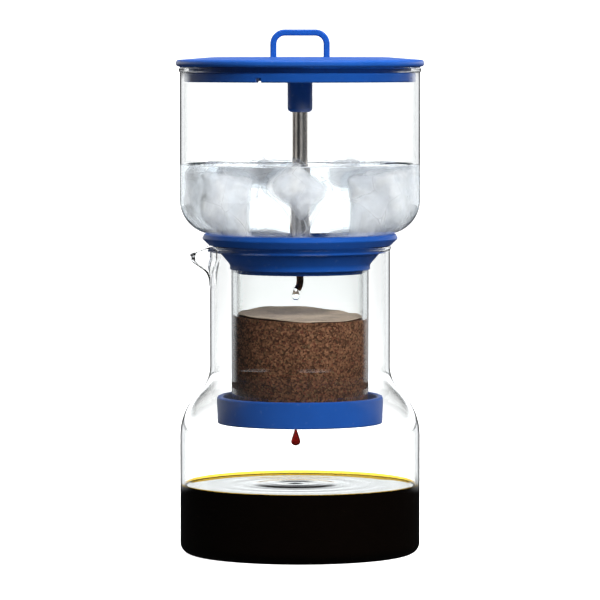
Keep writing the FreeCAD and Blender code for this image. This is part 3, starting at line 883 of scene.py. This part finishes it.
class BREWER_OT_stage(bpy.types.Operator):
    """Adds the floor, the backdrop, the room, the lamps and the camera"""

    bl_idname = "brewer.stage"
    bl_label = "Studio"

    def execute(self, context):
        scene = context.scene
        studio = scene.brewer_studio
        paper = Finish("studio_paper")
        glow = paper.node("ShaderNodeEmission", {}, {"Color": WHITE, "Strength": studio.backdrop})
        backdrop_finish = self.seen_directly(paper, glow)
        table = Finish("studio_table")
        grain = table.clouds(40 * MM, 3)
        shine = table.node("ShaderNodeEmission", {}, {"Color": WHITE, "Strength": studio.backdrop * 0.72})
        pale = table.blend(grain, (0.85, 0.85, 0.85, 1), (0.9, 0.9, 0.9, 1))
        matt = table.node("ShaderNodeBsdfDiffuse", {}, {"Color": pale})
        white = table.node("ShaderNodeAddShader", {}, {0: shine, 1: matt})
        table_finish = self.seen_directly(table, white)
        reach = 4.4
        top = -0.1 * MM
        foot = top - 0.01
        slab = [Vector((0, top)), Vector((reach, top)), Vector((reach, foot)), Vector((0, foot))]
        floor = turned_mesh("floor", slab, 96)
        turns = [math.radians(angle) for angle in range(0, 91, 3)]
        arc = [Vector((reach * math.cos(turn), reach * math.sin(turn))) for turn in turns]
        shell = [Vector((at.x * 1.01, at.y * 1.01)) for at in arc[::-1]]
        vault = [Vector((0, reach * 1.01))] + shell[1:] + arc[:-1] + [Vector((0, reach))]
        dome = turned_mesh("backdrop", vault, 96)
        for mesh, finish in ((floor, table_finish), (dome, backdrop_finish)):
            piece = new_piece(mesh.name, mesh, finish)
            piece.visible_glossy = False
            piece.visible_diffuse = False
            piece.visible_shadow = False
        self.add_room(scene, studio)
        self.add_lamp("key", (0.85, -1.4, 1.05), 0.85, studio.key_power)
        self.add_lamp("top", (0.1, -0.1, 1.9), 1.5, studio.top_power)
        self.add_lamp("bounce", (0.15, -0.95, -0.5), 0.8, studio.bounce_power)
        view = bpy.data.cameras.new("camera")
        view.sensor_width = 36
        view.sensor_fit = "HORIZONTAL"
        view.lens = studio.lens
        view.clip_start = 0.05
        view.clip_end = 30
        camera = added("camera", view)
        camera.location = (0, -studio.distance, studio.height)
        camera.rotation_euler = (math.radians(90) - studio.pitch, 0, 0)
        scene.camera = camera
        scene.view_settings.view_transform = "Standard"
        scene.view_settings.look = "None"
        scene.cycles.use_denoising = True
        scene.cycles.max_bounces = 32
        scene.cycles.transmission_bounces = 32
        scene.cycles.glossy_bounces = 8
        scene.cycles.transparent_max_bounces = 32
        scene.cycles.sample_clamp_indirect = 4
        return {"FINISHED"}

    def seen_directly(self, finish, shader):
        """Ends a finish that only rays which come straight or through glass see, so it lights no piece."""
        matt = finish.node("ShaderNodeLightPath", output="Diffuse Depth")
        shiny = finish.node("ShaderNodeLightPath", output="Glossy Depth")
        return finish.done(finish.mixed((matt + shiny).at_most(1.0), shader, finish.clear()))

    def add_room(self, scene, studio):
        """A dark room, lit only where the glass, the coffee and the steel show it.

        It has a band above the horizon behind for the coffee's surface, a strip at each side behind and
        below the horizon for the edges of the glass, faint wings above those, and two narrow panels in
        front for the stem. Overhead it is nearly dark.
        """
        world = bpy.data.worlds.new("room")
        world.use_nodes = True
        world.node_tree.nodes.clear()
        room = Tree(world.node_tree)
        scene.world = world
        look = room.node("ShaderNodeTexCoord", output="Generated")
        up = room.part(look, 2)
        behind = room.part(look, 1)
        side = room.node("ShaderNodeMath", {"operation": "ABSOLUTE"}, {0: room.part(look, 0)})
        band = room.ramp(up, 0.11, 0.24, studio.horizon, 0) * room.ramp(up, 0.0, 0.03)
        band = band * room.ramp(behind, 0.1, 0.4)
        strips = room.ramp(side, 0.2, 0.4, 0.02, 1.0) * room.ramp(side, 0.6, 0.82, 1, 0.02)
        strips = strips * room.ramp(up, -0.1, -0.096) * room.ramp(up, -0.008, -0.004, 1, 0)
        strips = strips * room.ramp(behind, 0.0, 0.3)
        wings = room.ramp(side, 0.35, 0.6, 0, 0.15) * room.ramp(behind, -0.1, 0.2)
        wings = wings * room.ramp(up, 0.02, 0.06)
        light = band + strips + wings + room.ramp(up, 0.1, 0.4, 0.01, studio.sky)
        for angle, strength in ((-62, 1.3), (19, 1.1)):
            aim = (math.sin(math.radians(angle)), -math.cos(math.radians(angle)), 0)
            inputs = {0: look, 1: aim}
            facing = room.node("ShaderNodeVectorMath", {"operation": "DOT_PRODUCT"}, inputs, "Value")
            panel = room.ramp(facing, 0.91, 0.98, 0.0, strength)
            light = light + panel * room.ramp(up, -0.045, -0.041) * room.ramp(up, -0.015, -0.012, 1, 0)
        tone = room.node("ShaderNodeBackground", {}, {"Color": (0.96, 0.98, 1, 1), "Strength": light})
        room.node("ShaderNodeOutputWorld", {}, {"Surface": tone})

    def add_lamp(self, name, place, size, power):
        """A square softbox aimed at the brewer."""
        lamp = bpy.data.lights.new(name, "AREA")
        lamp.shape = "SQUARE"
        lamp.size = size
        lamp.energy = power
        softbox = added(name, lamp)
        softbox.location = place
        aim = Vector((0, 0, 0.15)) - Vector(place)
        softbox.rotation_euler = aim.to_track_quat("-Z", "Y").to_euler()
        softbox.visible_glossy = False
        softbox.visible_transmission = False


class BREWER_OT_silicone(bpy.types.Operator):
    """Gives the lid, handle, grip, collar, cup and seal their moulded rubber"""

    bl_idname = "brewer.silicone"
    bl_label = "Silicone Parts"

    def execute(self, context):
        colours = context.scene.brewer_colours
        blue = silicone_finish("blue_silicone", colours.silicone, 0.36)
        dress(blue, "blue_rubber", "lid_cover", "lid_handle", "valve_grip", "chamber_collar", "filter_cup")
        dress(silicone_finish("milky_silicone", colours.seal, 0.3), "clear_rubber", "valve_seal")
        return {"FINISHED"}


class BREWER_OT_glass(bpy.types.Operator):
    """Makes the carafe, and gives the tank and the coffee tube their glass"""

    bl_idname = "brewer.glass"
    bl_label = "Glass Parts"

    def execute(self, context):
        scene = context.scene
        glass = glass_finish("clear_glass", scene.brewer_colours.glass, 1.47, 30 * MM, 0.12 * MM)
        settle("carafe", carafe_mesh(scene.brewer_sizes), glass, "carafe", "clear_glass", "carafe_glass")
        dress(glass, "clear_glass", "tank_glass", "chamber_tube")
        return {"FINISHED"}


class BREWER_OT_coffee(bpy.types.Operator):
    """Fills the carafe with coffee and gives the drop under the filter its finish"""

    bl_idname = "brewer.coffee"
    bl_label = "Brewed Coffee"

    def execute(self, context):
        scene = context.scene
        low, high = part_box("coffee_drop")
        pool = pool_mesh(scene.brewer_sizes, (low.x + high.x) / 2)
        finish = coffee_finish(scene.brewer_colours, pool_top.z)
        settle("coffee_pool", pool, finish, "carafe", "coffee", "brewed_coffee")
        dress(drop_finish(scene.brewer_colours.coffee_drop), "coffee", "coffee_drop")
        return {"FINISHED"}


class BREWER_OT_water(bpy.types.Operator):
    """Fills the tank with water and gives the drop under the nozzle its finish"""

    bl_idname = "brewer.water"
    bl_label = "Water"

    def execute(self, context):
        scene = context.scene
        clear = glass_finish("clear_water", scene.brewer_colours.water, 1.33, 22 * MM, 0.05 * MM)
        settle("water_fill", tank_water_mesh(scene.brewer_sizes), clear, "tank", "water", "tank_water")
        dress(clear, "water", "water_drop")
        return {"FINISHED"}


class BREWER_OT_ice(bpy.types.Operator):
    """Puts lumps of ice in the water, each with a cloudy heart and bubbles"""

    bl_idname = "brewer.ice"
    bl_label = "Ice"

    def execute(self, context):
        scene = context.scene
        colour = scene.brewer_colours.ice
        skin = ice_mesh("ice_lumps", 1.0, 22, 0.07)
        settle("ice_lumps", skin, ice_skin_finish(colour), "tank", "ice", "ice_cubes")
        heart = ice_mesh("ice_hearts", 0.86, 16, 0.12)
        settle("ice_hearts", heart, ice_heart_finish(colour), "tank", "ice")
        finish = bubble_finish(colour)
        core = ice_mesh("ice_cores", 0.6, 8, 0.25)
        values = {"Density": BUBBLE_DENSITY, "Lump Size": scene.brewer_sizes.bubble}
        group = scatter_pattern("ice_bubbles", 0.4, 1.4, 5)
        bubbles = patterned("ice_bubbles", core, group, values, finish)
        settle("ice_bubbles", bubbles, finish, "tank", "ice")
        return {"FINISHED"}


class BREWER_OT_grounds(bpy.types.Operator):
    """Fills the tube with wet grounds"""

    bl_idname = "brewer.grounds"
    bl_label = "Coffee Grounds"

    def execute(self, context):
        scene = context.scene
        colours = scene.brewer_colours
        finish = grounds_finish("ground_coffee", colours.grounds_dark, colours.grounds_light)
        bed = grounds_mesh()
        values = {"Density": GRAIN_DENSITY, "Lump Size": scene.brewer_sizes.grain}
        group = scatter_pattern("coffee_grains", 0.3, 0.8, 11)
        grains = patterned("coffee_grains", bed.copy(), group, values, finish)
        settle("coffee_bed", bed, finish, "filter", "ground_coffee", "coffee_grounds")
        settle("coffee_grains", grains, finish, "filter", "ground_coffee")
        return {"FINISHED"}


class BREWER_OT_paper(bpy.types.Operator):
    """Lays a wet paper on the grounds"""

    bl_idname = "brewer.paper"
    bl_label = "Paper Filter"

    def execute(self, context):
        finish = paper_finish(context.scene.brewer_colours.paper)
        settle("wet_paper", paper_mesh(), finish, "filter", "wet_paper", "paper_filter")
        return {"FINISHED"}


class BREWER_OT_steel(bpy.types.Operator):
    """Gives the stem, nozzle and ring their steel, and weaves the filter's mesh"""

    bl_idname = "brewer.steel"
    bl_label = "Steel Parts"

    def execute(self, context):
        scene = context.scene
        sizes = scene.brewer_sizes
        colours = scene.brewer_colours
        drawn = steel_finish("drawn_steel", colours.steel, 0.12, (1, 1, 0.02))
        dress(drawn, "polished_steel", "valve_stem")
        dress(steel_finish("stained_steel", colours.spout, 0.2, (1, 1, 1)), "polished_steel", "drip_spout")
        turned = steel_finish("turned_steel", colours.steel, 0.26, (0.2, 0.2, 1))
        dress(turned, "brushed_steel", "filter_rim_ring")
        values = {
            "Radius": mesh_top.x - 0.2 * MM,
            "Pitch": sizes.mesh_pitch,
            "Wire": sizes.mesh_wire,
            "Level": mesh_top.z - 0.3 * MM,
            "Dish": mesh_top.z - mesh_foot.z - 0.6 * MM,
        }
        start = bpy.data.meshes.new("mesh_start")
        woven = patterned("woven_mesh", start, woven_pattern(), values, turned)
        settle("woven_mesh", woven, turned, "filter", "brushed_steel", "filter_mesh")
        return {"FINISHED"}


OPERATORS = (
    BREWER_OT_stage,
    BREWER_OT_silicone,
    BREWER_OT_glass,
    BREWER_OT_coffee,
    BREWER_OT_water,
    BREWER_OT_ice,
    BREWER_OT_grounds,
    BREWER_OT_paper,
    BREWER_OT_steel,
)


class BREWER_PT_sidebar(bpy.types.Panel):
    """Buttons for every group of pieces"""

    bl_idname = "BREWER_PT_sidebar"
    bl_label = "Cold Brew Coffee Maker"
    bl_space_type = "VIEW_3D"
    bl_region_type = "UI"
    bl_category = "Cold Brew"

    def draw(self, context):
        for operator in OPERATORS:
            self.layout.operator(operator.bl_idname)
        for group, kind in GROUPS.items():
            for name in kind.__annotations__:
                self.layout.prop(getattr(context.scene, group), name)


GROUPS = {"brewer_sizes": BrewerSizes, "brewer_colours": BrewerColours, "brewer_studio": BrewerStudio}
CLASSES = tuple(GROUPS.values()) + OPERATORS + (BREWER_PT_sidebar,)


def register():
    for entry in CLASSES:
        bpy.utils.register_class(entry)
    for group, kind in GROUPS.items():
        setattr(bpy.types.Scene, group, bpy.props.PointerProperty(type=kind))


def unregister():
    for group in GROUPS:
        delattr(bpy.types.Scene, group)
    for entry in reversed(CLASSES):
        bpy.utils.unregister_class(entry)


def main():
    """Builds everything in order."""
    register()
    for operator in OPERATORS:
        getattr(bpy.ops.brewer, operator.bl_idname.split(".")[1])()


if __name__ == "__main__":
    main()
